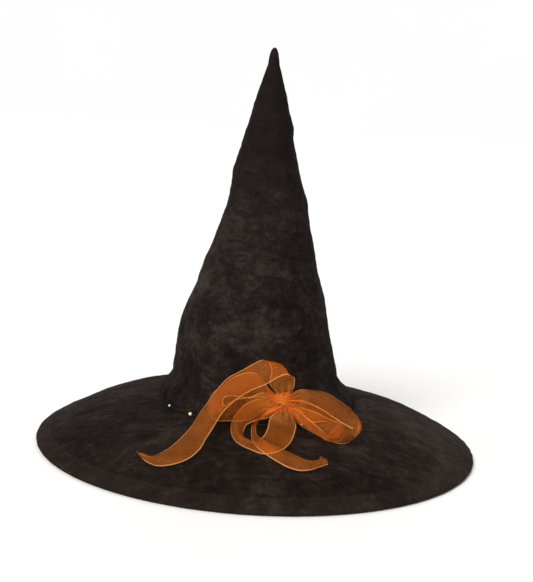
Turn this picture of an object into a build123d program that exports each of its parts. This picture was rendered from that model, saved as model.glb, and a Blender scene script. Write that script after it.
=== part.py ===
from build123d import *
import os
from math import atan, atan2, cos, degrees, hypot, radians, sin, sqrt

# Witch hat: a velvet cone on a wide wired brim, with a sheer ribbon bow sewn to its front.
# Millimetres. Z is up, the rim of the brim rests on Z = 0, and the front of the hat faces -Y.

# ---- Overall sizes ----
BRIM_R = 210.0  # outer edge of the brim binding
HAT_H = 377.0  # rim to tip
SEAM_Z = 42.0  # top of the brim where the crown is sewn to it
SEAM_R = 93.0  # outside of the crown at that seam

# ---- Crown ----
FLARE_W = 14.0  # how much wider the seam is than the cone above the flare
FLARE_H = 28.0  # height of the flared foot
FOOT_H = 3.0  # upright part of the foot, above the seam
TIP_R = 5.5  # cone just below the rounded tip
TIP_H = 16.0  # height of the rounded tip
TIP_BLUNTNESS = 0.75  # 0 is a point, 1 a flat end
TAPER = [(0.0, 1.0), (0.25, 0.79), (0.50, 0.50), (0.75, 0.28)]  # shares of the cone's height and foot

# ---- Cloth layers ----
CLOTH_T = 0.8  # velvet, and the binding cut from it
CROWN_CORE_T = 1.2
LINING_T = 0.6
BRIM_CORE_T = 1.6
LAYER_GAP = 0.05  # between layers that are sewn or fused together
SMALL = 1e-6

# ---- Head opening ----
HEAD_EASE = 0.7  # between the crown's lining and the head band
HEAD_BAND_T = 0.8
HEAD_BAND_H = 12.0
HEAD_BAND_DROP = 5.0  # how far the band hangs below the seam
BAND_GAP = 0.1

# ---- Brim edge ----
BRIM_START_SLOPE = radians(2)  # fall of the brim where it leaves the crown
BINDING_W = 13.0
RIM_FLAT = 0.2  # the rim is pressed flat by this much where it rests
WIRE_R = 1.2
WIRE_SPLIT = 0.15  # degrees between the wire's two ends
FERRULE_T = 0.35
FERRULE_GAP = 0.05
FERRULE_TURN = 6.0  # degrees of the rim that the ferrule covers

# ---- Beads on the crown seam ----
BEAD_R = 1.8
BEAD_HOLE_R = 0.45
BEAD_THREAD_R = 0.3
BEAD_GAP = 0.2
BEAD_TURNS = [211.0, 230.5, 295.4]  # degrees round the seam

# ---- Bow ----
RIBBON_W = 25.0
RIBBON_T = 0.6
KNOT_W, KNOT_D, KNOT_H = 22.0, 12.0, 18.0
KNOT_ROUND = 4.0
KNOT_TURN = radians(282.5)  # place round the hat
KNOT_RISE = 22.5  # above the seam
KNOT_STANDOFF = 1.0  # knot to crown, at the nearest place
TIE_GROOVE = 1.0  # depth and width of the groove that the tie thread pulls in the knot
TIE_GAP = 0.1
STITCH_R = 0.4
STITCH_SPREAD = 4.0
ROOT_R = 2.0  # a loop's fold where it leaves the knot
BOW_GAP = 0.4  # ribbon to knot
BRIM_CLEAR = 1.2  # ribbon to brim

# Directions and places on the bow are (side, out, up), counted from the middle of the knot.
# Each loop: direction out of the knot, direction its belly swells in, reach, radius of the belly.
LOOPS = {
    "bow_loop_top": ((-0.20, 0, 0.97), (1, 0, 0), 40.0, 12.0),
    "bow_loop_left": ((-0.99, -0.08, -0.06), (0, 1, 0), 68.0, 4.0),
    "bow_loop_right_outer": ((0.99, 0.10, -0.08), (0, 1, 0), 74.0, 7.0),
}
# These two come down to the brim, so only (side, out) of their direction is set.
LOW_LOOPS = {
    "bow_loop_lower": ((-0.14, 1.0), (1, 0, 0), 42.0, 14.0),
    "bow_loop_right_inner": ((0.80, 0.50), (-0.5, 0.8, 0), 50.0, 6.0),
}
# The left tail: (place, direction across its width), then (degrees round the hat, radius) on the brim.
LEFT_TAIL = [
    ((-20.0, 2.0, 30.0), (0, 1, 0)),
    ((-50.0, 7.0, 16.0), (0.5, 0.3, -0.8)),
    ((-68.0, 13.0, -5.0), (0.7, 0.6, -0.4)),
]
LEFT_TAIL_REST = [(247.0, 141.0), (242.5, 166.0), (236.0, 171.0)]
RIGHT_TAIL_FIRST, RIGHT_TAIL_STEP, RIGHT_TAIL_COUNT = 269.5, 5.75, 5  # degrees round the hat

# ---- Worked-out sizes ----
crown_wall = CLOTH_T + LAYER_GAP + CROWN_CORE_T + LAYER_GAP + LINING_T
HEAD_R = SEAM_R - crown_wall - HEAD_EASE - HEAD_BAND_T
cone_foot_z = SEAM_Z + FLARE_H
cone_h = HAT_H - cone_foot_z
cone_r = SEAM_R - FLARE_W
brim_cloth_out = BRIM_CORE_T / 2 + LAYER_GAP + CLOTH_T
fold_in_r = max(brim_cloth_out, WIRE_R + FERRULE_GAP + FERRULE_T) + LAYER_GAP
fold_out_r = fold_in_r + CLOTH_T
opening_r = HEAD_R + HEAD_BAND_T + BAND_GAP
groove_round = KNOT_ROUND - TIE_GROOVE
knot_z = SEAM_Z + KNOT_RISE

# The middle of the brim is an arc from the head opening to the wire, in (radius, height).
wire_r, wire_z = BRIM_R - fold_out_r, fold_out_r - RIM_FLAT
run, fall = wire_r - opening_r, SEAM_Z - brim_cloth_out - wire_z
bend = (run**2 + fall**2) / (2 * (fall * cos(BRIM_START_SLOPE) - run * sin(BRIM_START_SLOPE)))
bend_r = opening_r - bend * sin(BRIM_START_SLOPE)
bend_z = SEAM_Z - brim_cloth_out - bend * cos(BRIM_START_SLOPE)
wire_turn = atan2(wire_r - bend_r, wire_z - bend_z)
cloth_end_turn = wire_turn - (fold_in_r + LAYER_GAP) / bend
binding_turn = wire_turn - BINDING_W / bend


def on_brim_arc(offset, turn):
    """Point of the brim's section at an offset above its middle arc."""
    return (bend_r + (bend + offset) * sin(turn), bend_z + (bend + offset) * cos(turn))


def brim_layer(low, high):
    """Draws the section of a layer from the head opening to just inside the wire."""
    start, end = BRIM_START_SLOPE, cloth_end_turn
    middle = (start + end) / 2
    top = ThreePointArc(on_brim_arc(high, start), on_brim_arc(high, middle), on_brim_arc(high, end))
    Line(top @ 1, on_brim_arc(low, end))
    ThreePointArc(on_brim_arc(low, end), on_brim_arc(low, middle), on_brim_arc(low, start))
    Line(on_brim_arc(low, start), top @ 0)


def brim_top_z(radius):
    """Height of the brim's upper cloth at a distance from the hat's axis."""
    return bend_z + sqrt((bend + brim_cloth_out) ** 2 - (radius - bend_r) ** 2)


def brim_slope(radius):
    """Fall of the brim's upper cloth at a distance from the hat's axis, as an angle."""
    return atan((radius - bend_r) / (brim_top_z(radius) - bend_z))


def meridian(turn):
    """Upright plane through the hat's axis, with x running outwards and y up."""
    outward = Vector(1, 0, 0).rotate(Axis.Z, turn)
    return Plane(origin=(0, 0, 0), x_dir=outward, z_dir=outward.cross(Vector(0, 0, 1)))


def crown_side(inset):
    """Draws the crown's section from its foot to the top of its tip, moved towards its axis."""
    foot = (SEAM_R - inset, SEAM_Z + LAYER_GAP)
    ankle = (SEAM_R - inset, SEAM_Z + FOOT_H)
    cone = [(share_r * cone_r - inset, cone_foot_z + share * cone_h) for share, share_r in TAPER]
    shoulder = (TIP_R - inset, HAT_H - TIP_H)
    cone_rise = (shoulder[1] - cone_foot_z) / (cone_r - TIP_R)
    top = (0, HAT_H - inset * cone_rise)
    pull = (cone_foot_z - ankle[1]) / 2  # makes the flare leave the foot upright and join the cone
    flare_low = (ankle[0], ankle[1] + pull)
    flare_high = (cone[0][0] + (cone[0][1] - cone_foot_z + pull) / cone_rise, cone_foot_z - pull)
    return [
        Line(foot, ankle),
        Bezier(ankle, flare_low, flare_high, cone[0]),
        Spline(*cone, shoulder),
        Bezier(shoulder, (TIP_BLUNTNESS * shoulder[0], top[1]), top),
    ]


def crown_layer(outer, inner):
    """Draws the section of a crown layer between two insets."""
    outside, inside = crown_side(outer), crown_side(inner)
    Line(outside[0] @ 0, inside[0] @ 0)
    Line(outside[-1] @ 1, inside[-1] @ 1)


crown_outline = Wire(crown_side(0))


def crown_radius(height):
    """Outer radius of the crown at a height."""
    low, high = 0.0, 1.0
    for _ in range(40):
        middle = (low + high) / 2
        if (crown_outline @ middle).Y < height:
            low = middle
        else:
            high = middle
    return (crown_outline @ low).X


# ---- Crown layers ----
core_inset = CLOTH_T + LAYER_GAP
lining_inset = core_inset + CROWN_CORE_T + LAYER_GAP

with BuildPart() as crown_velvet:
    with BuildSketch(Plane.XZ):
        with BuildLine():
            crown_layer(0, CLOTH_T)
        make_face()
    revolve(axis=Axis.Z)

with BuildPart() as crown_stiffener:
    with BuildSketch(Plane.XZ):
        with BuildLine():
            crown_layer(core_inset, core_inset + CROWN_CORE_T)
        make_face()
    revolve(axis=Axis.Z)

with BuildPart() as crown_lining:
    with BuildSketch(Plane.XZ):
        with BuildLine():
            crown_layer(lining_inset, lining_inset + LINING_T)
        make_face()
    revolve(axis=Axis.Z)

# ---- Brim layers ----
core_half = BRIM_CORE_T / 2
cloth_in = core_half + LAYER_GAP

with BuildPart() as brim_top:
    with BuildSketch(Plane.XZ):
        with BuildLine():
            brim_layer(cloth_in, brim_cloth_out)
        make_face()
    revolve(axis=Axis.Z)

with BuildPart() as brim_stiffener:
    with BuildSketch(Plane.XZ):
        with BuildLine():
            brim_layer(-core_half, core_half)
        make_face()
    revolve(axis=Axis.Z)

with BuildPart() as brim_underside:
    with BuildSketch(Plane.XZ):
        with BuildLine():
            brim_layer(-brim_cloth_out, -cloth_in)
        make_face()
    revolve(axis=Axis.Z)

# The binding folds round the wire and lies over both cloths. Its foot is pressed flat.
with BuildPart() as brim_binding:
    with BuildSketch(Plane.XZ):
        with BuildLine():
            half_turn = (wire_turn + binding_turn) / 2
            upper = [on_brim_arc(fold_out_r, t) for t in (binding_turn, half_turn, wire_turn)]
            lower = [on_brim_arc(-fold_out_r, t) for t in (wire_turn, half_turn, binding_turn)]
            upper_in = [on_brim_arc(fold_in_r, t) for t in (binding_turn, half_turn, wire_turn)]
            lower_in = [on_brim_arc(-fold_in_r, t) for t in (wire_turn, half_turn, binding_turn)]
            out_dir = (cos(wire_turn), -sin(wire_turn))
            nose = (wire_r + fold_out_r * out_dir[0], wire_z + fold_out_r * out_dir[1])
            nose_in = (wire_r + fold_in_r * out_dir[0], wire_z + fold_in_r * out_dir[1])
            ThreePointArc(*upper)
            ThreePointArc(upper[2], nose, lower[0])
            ThreePointArc(*lower)
            Line(lower[2], lower_in[2])
            ThreePointArc(*lower_in)
            ThreePointArc(lower_in[0], nose_in, upper_in[2])
            ThreePointArc(*upper_in)
            Line(upper_in[0], upper[0])
        make_face()
    revolve(axis=Axis.Z)
    split(bisect_by=Plane.XY, keep=Keep.TOP)

# The wire's ends meet at the back, inside a crimped ferrule.
with BuildPart() as brim_wire:
    with BuildSketch(meridian(90 + WIRE_SPLIT / 2)):
        with Locations((wire_r, wire_z)):
            Circle(WIRE_R)
    revolve(axis=Axis.Z, revolution_arc=360 - WIRE_SPLIT)

with BuildPart() as wire_ferrule:
    with BuildSketch(meridian(90 - FERRULE_TURN / 2)):
        with Locations((wire_r, wire_z)):
            Circle(WIRE_R + FERRULE_GAP + FERRULE_T)
            Circle(WIRE_R + FERRULE_GAP, mode=Mode.SUBTRACT)
    revolve(axis=Axis.Z, revolution_arc=FERRULE_TURN)

# ---- Head band ----
with BuildPart() as head_band:
    with BuildSketch(Plane.XY.offset(SEAM_Z - HEAD_BAND_DROP)):
        Circle(HEAD_R + HEAD_BAND_T)
        Circle(HEAD_R, mode=Mode.SUBTRACT)
    extrude(amount=HEAD_BAND_H)

# ---- Beads ----
bead_ring_r = SEAM_R + BEAD_GAP + BEAD_R
bead_z = brim_top_z(bead_ring_r) + BEAD_GAP + BEAD_R

with BuildPart() as seam_beads:
    for turn in BEAD_TURNS:
        middle = Vector(bead_ring_r, 0, bead_z).rotate(Axis.Z, turn)
        along = Vector(0, 1, 0).rotate(Axis.Z, turn)
        with Locations(Plane(origin=middle, x_dir=(0, 0, 1), z_dir=along)):
            Sphere(BEAD_R)
            Cylinder(BEAD_HOLE_R, 3 * BEAD_R, mode=Mode.SUBTRACT)

thread_overrun = degrees(2 * BEAD_R / bead_ring_r)
with BuildPart() as bead_thread:
    with BuildSketch(meridian(BEAD_TURNS[0] - thread_overrun)):
        with Locations((bead_ring_r, bead_z)):
            Circle(BEAD_THREAD_R)
    revolve(axis=Axis.Z, revolution_arc=BEAD_TURNS[-1] - BEAD_TURNS[0] + 2 * thread_overrun)

# ---- Bow ----
# The bow's own directions: side runs to the right round the hat, out points away from the crown.
side = Vector(-sin(KNOT_TURN), cos(KNOT_TURN), 0)
out = Vector(cos(KNOT_TURN), sin(KNOT_TURN), 0)
up = Vector(0, 0, 1)
knot_r = crown_radius(knot_z - KNOT_H / 2) + KNOT_STANDOFF + KNOT_D / 2
knot = out * knot_r + up * knot_z


def bow_dir(to_side, to_out, to_up):
    """Direction in the hat's frame of a direction in the bow's."""
    return side * to_side + out * to_out + up * to_up


def bow_point(to_side, to_out, to_up):
    """Point of the bow, counted from the middle of the knot."""
    return knot + bow_dir(to_side, to_out, to_up)


with BuildPart() as bow_knot:
    with BuildSketch(Plane(origin=bow_point(0, 0, -KNOT_H / 2), x_dir=side, z_dir=up)):
        RectangleRounded(KNOT_W, KNOT_D, KNOT_ROUND)
    extrude(amount=KNOT_H)
    with BuildSketch(Plane(origin=bow_point(0, 0, -TIE_GROOVE / 2), x_dir=side, z_dir=up)):
        RectangleRounded(KNOT_W + TIE_GROOVE, KNOT_D + TIE_GROOVE, KNOT_ROUND)
        RectangleRounded(KNOT_W - 2 * TIE_GROOVE, KNOT_D - 2 * TIE_GROOVE, groove_round, mode=Mode.SUBTRACT)
    extrude(amount=TIE_GROOVE, mode=Mode.SUBTRACT)

with BuildPart() as bow_tie_thread:
    tie_h = TIE_GROOVE - 2 * TIE_GAP
    with BuildSketch(Plane(origin=bow_point(0, 0, -tie_h / 2), x_dir=side, z_dir=up)):
        RectangleRounded(KNOT_W, KNOT_D, KNOT_ROUND)
        offset(amount=-TIE_GROOVE + TIE_GAP, mode=Mode.SUBTRACT)
    extrude(amount=tie_h)

# Two stitches hold the knot to the crown.
with BuildPart() as bow_stitches:
    for rise in (-STITCH_SPREAD, STITCH_SPREAD):
        crown_face = crown_radius(knot_z + rise - STITCH_R) + LAYER_GAP
        with BuildSketch(Plane(origin=out * crown_face + up * (knot_z + rise), z_dir=out)):
            Circle(STITCH_R)
        extrude(amount=knot_r - KNOT_D / 2 - LAYER_GAP - crown_face)


def unit(x, y, z):
    """The same direction, one long."""
    length = hypot(x, y, z)
    return (x / length, y / length, z / length)


def root_distance(direction, across):
    """How far along its direction a loop starts, so that its band clears the knot."""
    halves = (KNOT_W / 2, KNOT_D / 2, KNOT_H / 2)
    clear = BOW_GAP + ROOT_R
    reaches = [
        (half + clear + RIBBON_W / 2 * abs(a)) / abs(d)
        for half, d, a in zip(halves, direction, across)
        if abs(d) > SMALL
    ]
    return min(reaches)


def ribbon_loop(direction, belly_dir, reach, belly):
    """A loop of ribbon: out of the knot along a direction, as wide as its belly at the far end."""
    direction = unit(*direction)
    across = unit(*Vector(direction).cross(Vector(belly_dir)))
    ahead, sideways = bow_dir(*direction), bow_dir(*belly_dir)
    with BuildPart() as loop:
        with BuildSketch(Plane(origin=knot, x_dir=ahead, z_dir=ahead.cross(sideways))):
            with Locations((root_distance(direction, across), 0)):
                Circle(ROOT_R)
            with Locations((reach - belly, 0)):
                Circle(belly)
            make_hull()
            offset(amount=-RIBBON_T, mode=Mode.SUBTRACT)
        extrude(amount=RIBBON_W / 2, both=True)
    return loop


bow_loops = {name: ribbon_loop(*shape) for name, shape in LOOPS.items()}
for name, ((to_side, to_out), belly_dir, reach, belly) in LOW_LOOPS.items():
    rest_z = brim_top_z(knot_r + to_out * reach) + BRIM_CLEAR + RIBBON_W / 2
    direction = (to_side * reach, to_out * reach, rest_z - knot_z)
    bow_loops[name] = ribbon_loop(direction, belly_dir, reach, belly)


def brim_point(turn, radius):
    """Point of a ribbon that lies on the brim."""
    spot = Vector(radius, 0, brim_top_z(radius) + BRIM_CLEAR).rotate(Axis.Z, turn)
    return spot


def brim_across(turn, radius):
    """Direction down the brim, away from the crown."""
    fall_angle = brim_slope(radius)
    return Vector(cos(fall_angle), 0, -sin(fall_angle)).rotate(Axis.Z, turn)


def ribbon_strip(points, acrosses):
    """A strip of ribbon through points, with the direction across its width at each."""
    with BuildPart() as strip:
        for i, (point, across) in enumerate(zip(points, acrosses)):
            ahead = points[min(i + 1, len(points) - 1)] - points[max(i - 1, 0)]
            square = ahead - across * (across.dot(ahead) / across.dot(across))
            with BuildSketch(Plane(origin=point, x_dir=across, z_dir=square)):
                Rectangle(RIBBON_W, RIBBON_T)
        loft(ruled=True)
    return strip


# The left tail leaves the top loop edge on, turns its face to the front and lies on the brim.
left_points = [bow_point(*place) for place, _ in LEFT_TAIL]
left_acrosses = [bow_dir(*across) for _, across in LEFT_TAIL]
bow_tail_left = ribbon_strip(
    [*left_points, *(brim_point(*p) for p in LEFT_TAIL_REST)],
    [*left_acrosses, *(brim_across(*p) for p in LEFT_TAIL_REST)],
)

# The right tail comes out from under the lower loop and lies on the brim.
lower_reach = LOW_LOOPS["bow_loop_lower"][2]
right_r = knot_r + lower_reach + BRIM_CLEAR + RIBBON_W / 2
right_rest = [(RIGHT_TAIL_FIRST + RIGHT_TAIL_STEP * i, right_r) for i in range(RIGHT_TAIL_COUNT)]
bow_tail_right = ribbon_strip(
    [brim_point(*p) for p in right_rest], [brim_across(*p) for p in right_rest]
)

pieces = {
    "crown_velvet": crown_velvet,
    "crown_stiffener": crown_stiffener,
    "crown_lining": crown_lining,
    "brim_top": brim_top,
    "brim_stiffener": brim_stiffener,
    "brim_underside": brim_underside,
    "brim_binding": brim_binding,
    "brim_wire": brim_wire,
    "wire_ferrule": wire_ferrule,
    "head_band": head_band,
    "seam_beads": seam_beads,
    "bead_thread": bead_thread,
    "bow_knot": bow_knot,
    "bow_tie_thread": bow_tie_thread,
    "bow_stitches": bow_stitches,
    **bow_loops,
    "bow_tail_left": bow_tail_left,
    "bow_tail_right": bow_tail_right,
}

os.makedirs("parts", exist_ok=True)
for name, piece in pieces.items():
    piece.part.label = name
    export_step(piece.part, f"parts/{name}.step")

left_axis, right_axis = out * -1, brim_across(*right_rest[0])
print("left tail hinge", *left_points[0], "axis", *left_axis)
print("right tail hinge", *brim_point(*right_rest[0]), "axis", *right_axis)
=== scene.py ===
from math import cos, pi, radians, sin

import bpy
import numpy as np
from mathutils import Matrix, Vector, noise


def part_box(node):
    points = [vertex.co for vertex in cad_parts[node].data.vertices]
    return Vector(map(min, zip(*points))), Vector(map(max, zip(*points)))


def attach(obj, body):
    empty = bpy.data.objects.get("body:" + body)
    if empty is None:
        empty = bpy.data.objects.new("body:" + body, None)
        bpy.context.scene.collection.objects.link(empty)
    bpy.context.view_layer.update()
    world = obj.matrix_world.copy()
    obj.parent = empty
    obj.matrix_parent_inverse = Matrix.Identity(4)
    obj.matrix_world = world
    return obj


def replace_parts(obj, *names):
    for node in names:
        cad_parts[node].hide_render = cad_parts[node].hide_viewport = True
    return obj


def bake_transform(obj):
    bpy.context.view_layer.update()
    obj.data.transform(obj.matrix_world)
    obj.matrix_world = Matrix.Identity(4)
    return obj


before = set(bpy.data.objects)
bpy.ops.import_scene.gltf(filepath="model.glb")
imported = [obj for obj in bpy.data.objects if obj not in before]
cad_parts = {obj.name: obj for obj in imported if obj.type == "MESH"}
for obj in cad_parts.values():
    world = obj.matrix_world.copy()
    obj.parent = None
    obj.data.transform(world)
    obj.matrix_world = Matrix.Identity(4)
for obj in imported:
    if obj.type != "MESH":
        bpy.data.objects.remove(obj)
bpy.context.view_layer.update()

# Witch hat. The row frame is in metres: Z up, the rim on Z = 0, the bow faces -Y.
# Turns go round the hat from +X, so the front is 270 degrees and the back seam 90.

MM = 0.001
BACK = radians(90)
rng = np.random.default_rng(7)
knot_low, knot_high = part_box("bow_knot")
KNOT = np.array((knot_low + knot_high) / 2)


# ---------------------------------------------------------------- helpers


# How squarely a point of a CAD side has to face the asked way to count as part of it.
SQUARE_UP, SQUARE_OUT = 0.7, 0.25


def shell(node, facing):
    """(height, radius) rows of the side of a turned CAD node that faces out, in, up or down."""
    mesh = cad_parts[node].data
    places = np.array([v.co for v in mesh.vertices])
    normals = np.array([v.normal for v in mesh.vertices])
    radius = np.hypot(places[:, 0], places[:, 1])
    outward = (places[:, :2] * normals[:, :2]).sum(1) / np.maximum(radius, 1e-9)
    towards = {"out": outward, "in": -outward, "up": normals[:, 2], "down": -normals[:, 2]}[facing]
    keep = towards > (SQUARE_UP if facing in ("up", "down") else SQUARE_OUT)
    rows = np.unique(np.round(np.c_[places[keep, 2], radius[keep]], 5), axis=0)
    order = np.argsort(rows[:, 0] if facing in ("out", "in") else rows[:, 1])
    return rows[order]


def smooth(t):
    """An even rise from 0 to 1 as t goes from 0 to 1."""
    t = np.clip(t, 0, 1)
    return t * t * (3 - 2 * t)


def bump(value, middle, width):
    """A soft hump, 1 at its middle."""
    return np.exp(-(((value - middle) / width) ** 2))


def turn_gap(turn, middle):
    """Difference of two turns, from -pi to pi."""
    return (turn - middle + pi) % (2 * pi) - pi


def grain(points, scale, seed, octaves=3):
    """Smooth noise at points, about -1 to 1."""
    shift = Vector((seed * 7.3, seed * 3.1, seed * 5.7))
    return np.array([noise.fractal(Vector(p) * scale + shift, 0.6, 2.0, octaves) for p in points])


def mesh_object(name, points, faces, uv=None, body="hat"):
    """A smooth-shaded mesh. It rides body, unless body is None."""
    mesh = bpy.data.meshes.new(name)
    mesh.from_pydata([tuple(p) for p in points], [], [tuple(int(i) for i in f) for f in faces])
    if uv is not None:
        layer = mesh.uv_layers.new(name="UVMap")
        loops = np.zeros(len(mesh.loops), np.int32)
        mesh.loops.foreach_get("vertex_index", loops)
        layer.data.foreach_set("uv", np.asarray(uv, np.float32)[loops].ravel())
    mesh.polygons.foreach_set("use_smooth", [True] * len(mesh.polygons))
    mesh.update()
    made = bpy.data.objects.new(name, mesh)
    bpy.context.scene.collection.objects.link(made)
    if body:
        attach(made, body)
    return made


def grid_faces(rows, columns, wrap=False):
    """Faces of a grid of points, row after row. With wrap, the last column joins the first."""
    a = np.arange(rows - 1)[:, None] * columns
    across = columns if wrap else columns - 1
    c = np.arange(across)[None, :]
    d = (c + 1) % columns
    quads = np.stack([a + c, a + d, a + columns + d, a + columns + c], -1)
    return quads.reshape(-1, 4)


def ring_faces(rows, columns):
    """Faces of a wrapped grid whose last row also joins its first."""
    c = np.arange(columns)
    last, d = (rows - 1) * columns, (c + 1) % columns
    return np.vstack([grid_faces(rows, columns, wrap=True), np.stack([last + c, last + d, d, c], -1)])


def tube_faces(rows, columns):
    """Faces of a wrapped grid with both its ends closed."""
    faces = [tuple(f) for f in grid_faces(rows, columns, wrap=True)]
    return faces + [tuple(range(columns))[::-1], tuple((rows - 1) * columns + i for i in range(columns))]


def turned(radius, turns, z):
    """Points at a radius and a height for each turn."""
    return np.stack([radius * np.cos(turns), radius * np.sin(turns), z], -1)


def turns_from_back(columns):
    """Turns once round, from the back seam."""
    return np.linspace(0, 2 * pi, columns, endpoint=False) + BACK


# ---------------------------------------------------------------- materials


class Nodes:
    """A material's node tree, built one node at a time."""

    def __init__(self, name):
        self.material = bpy.data.materials.new(name)
        self.material.use_nodes = True
        self.tree = self.material.node_tree
        self.tree.nodes.clear()
        self.place = self.add("ShaderNodeTexCoord").outputs["Object"]
        self.uv = self.tree.nodes[0].outputs["UV"]

    def add(self, kind, links=None, **values):
        node = self.tree.nodes.new(kind)
        for key, value in values.items():
            if hasattr(node, key):
                setattr(node, key, value)
            else:
                node.inputs[key].default_value = value
        for key, socket in (links or {}).items():
            self.tree.links.new(socket, node.inputs[key])
        return node

    def math(self, operation, a, b=0.0, c=0.0, clamp=False):
        node = self.tree.nodes.new("ShaderNodeMath")
        node.operation, node.use_clamp = operation, clamp
        for socket, value in zip(node.inputs, (a, b, c)):
            if isinstance(value, (int, float)):
                socket.default_value = value
            else:
                self.tree.links.new(value, socket)
        return node.outputs[0]

    def stretched(self, scale, source=None):
        return self.add("ShaderNodeMapping", {"Vector": source or self.place}, Scale=scale).outputs[0]

    def noise(self, scale, detail=3.0, roughness=0.55, source=None, distortion=0.0):
        return self.add(
            "ShaderNodeTexNoise", {"Vector": source or self.place},
            Scale=scale, Detail=detail, Roughness=roughness, Distortion=distortion,
        ).outputs["Fac"]

    def ramp(self, factor, stops):
        node = self.add("ShaderNodeValToRGB", {"Fac": factor})
        ramp = node.color_ramp
        while len(ramp.elements) < len(stops):
            ramp.elements.new(0.5)
        for element, (place, colour) in zip(ramp.elements, stops):
            element.position, element.color = place, (*colour, 1)
        return node.outputs["Color"]

    def level(self, factor, low, high, from_low=0.0, from_high=1.0):
        node = self.add("ShaderNodeMapRange", {"Value": factor})
        limits = {"From Min": from_low, "From Max": from_high, "To Min": low, "To Max": high}
        for key, value in limits.items():
            node.inputs[key].default_value = value
        return node.outputs[0]

    def away_from(self, place):
        """Distance from a place, in metres."""
        node = self.add("ShaderNodeVectorMath", {0: self.place}, operation="DISTANCE")
        node.inputs[1].default_value = place
        return node.outputs["Value"]

    def bumped(self, height, strength, distance, normal=None):
        links = {"Height": height}
        if normal is not None:
            links["Normal"] = normal
        return self.add("ShaderNodeBump", links, Strength=strength, Distance=distance).outputs[0]

    def finish(self, colour, roughness, normal, **uniform):
        """Principled surface. Uniform numbers are set directly on its sockets."""
        links = {"Base Color": colour, "Roughness": roughness, "Normal": normal}
        self.surface = self.add("ShaderNodeBsdfPrincipled", links)
        for key, value in uniform.items():
            self.surface.inputs[key.replace("_", " ")].default_value = value
        self.out = self.add("ShaderNodeOutputMaterial", {"Surface": self.surface.outputs[0]})
        return self.material


def crushed_velvet(name, dark, light, nap, brushed=None):
    """Velvet pile pressed this way and that, less so towards the tip. nap stretches its streaks.
    Round the place given as brushed, a painted pool of light makes the colour lighter."""
    n = Nodes(name)
    broad = n.noise(9.0, 2.0, 0.5, distortion=0.5)
    patches = n.noise(34.0, 4.0, 0.66, distortion=0.9)
    streaks = n.noise(1.0, 5.0, 0.70, n.stretched(nap), 1.4)
    flecks = n.noise(150.0, 4.0, 0.74, distortion=1.1)
    creases = n.add(
        "ShaderNodeTexNoise", {"Vector": n.stretched(nap)}, noise_type="RIDGED_MULTIFRACTAL",
        Scale=1.5, Detail=4.0, Roughness=0.62, Distortion=0.9,
    ).outputs["Fac"]
    fine = n.noise(900.0, 2.0, 0.6)
    mottled = n.math("MULTIPLY", broad, 0.22)
    for part, share in ((patches, 0.30), (streaks, 0.24), (flecks, 0.24)):
        mottled = n.math("ADD", mottled, n.math("MULTIPLY", part, share))
    height = n.add("ShaderNodeSeparateXYZ", {"Vector": n.place}).outputs[2]
    calm = n.level(height, 1.0, 0.35, 0.17, 0.32)
    mottled = n.math("ADD", 0.5, n.math("MULTIPLY", n.math("SUBTRACT", mottled, 0.5), calm))
    if brushed:
        # Painted light: lighter round that place, and a little darker from 110 mm away.
        lighter = n.level(n.away_from(brushed), 0.042, -0.025, 12 * MM, 110 * MM)
        mottled = n.math("ADD", mottled, lighter)
    middle = [0.72 * a + 0.28 * b for a, b in zip(dark, light)]
    tone = n.ramp(mottled, [(0.415, dark), (0.5, middle), (0.585, light)])
    # Painted shade: the colour is darker along the crease grooves and a little lighter between them.
    crease_shade = n.level(creases, 1.22, 0.62, 0.9, 2.3)
    colour = mixed(n, mixed(n, tone, n.level(fine, 0.66, 1.34)), crease_shade)
    rough = n.level(mottled, 0.94, 0.78, 0.40, 0.60)
    creased = n.bumped(creases, 0.45, -1.6 * MM)
    crush = n.bumped(n.noise(120.0, 5.0, 0.70, distortion=1.2), 0.9, 1.8 * MM, creased)
    pile = n.bumped(fine, 0.35, 0.4 * MM, crush)
    return n.finish(
        colour, rough, pile, Specular_IOR_Level=0.04,
        Sheen_Weight=0.02, Sheen_Roughness=0.35, Sheen_Tint=(0.70, 0.48, 0.38, 1),
    )


def mixed(n, a, b, kind="MULTIPLY", factor=1.0):
    """Two colours mixed. A number socket counts as a grey."""
    node = n.tree.nodes.new("ShaderNodeMix")
    node.data_type, node.blend_type = "RGBA", kind
    node.clamp_result = False
    if isinstance(factor, float):
        node.inputs[0].default_value = factor
    else:
        n.tree.links.new(factor, node.inputs[0])
    for socket, value in ((node.inputs[6], a), (node.inputs[7], b)):
        if isinstance(value, tuple):
            socket.default_value = (*value, 1)
        else:
            n.tree.links.new(value, socket)
    return node.outputs[2]


def woven(name, dark, light, threads, roughness=0.8, gloss=0.3, weave=0.35):
    """Plain woven cloth, with threads to the metre both ways in the surface's own grid."""
    n = Nodes(name)
    warp, weft = (
        n.add(
            "ShaderNodeTexWave", {"Vector": n.uv}, bands_direction=way,
            Scale=threads / 2, Distortion=0.4,
        ).outputs["Fac"]
        for way in "XY"
    )
    cloth = n.math("MAXIMUM", warp, weft)
    patches = n.noise(35.0, 4.0, 0.6)
    shade = n.math("ADD", n.math("MULTIPLY", cloth, 0.45), n.math("MULTIPLY", patches, 0.55))
    colour = n.ramp(shade, [(0.25, dark), (0.75, light)])
    rough = n.level(patches, roughness - 0.08, roughness + 0.08)
    normal = n.bumped(cloth, weave, 0.25 * MM)
    return n.finish(colour, rough, normal, Specular_IOR_Level=gloss)


def metal(name, dark, light, roughness, streak):
    """Drawn metal, with fine marks that streak stretches."""
    n = Nodes(name)
    brushed = n.noise(1.0, 4.0, 0.6, n.stretched(streak))
    colour = n.ramp(brushed, [(0.3, dark), (0.7, light)])
    rough = n.level(brushed, roughness - 0.08, roughness + 0.12)
    return n.finish(colour, rough, n.bumped(brushed, 0.15, 0.2 * MM), Metallic=1.0)


GATHERED = (0.95, 0.39, 0.08)  # organza where many layers of it lie together
SEEN_THROUGH = (1.0, 0.84, 0.62, 1)  # what one layer of organza does to the light behind it


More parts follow.
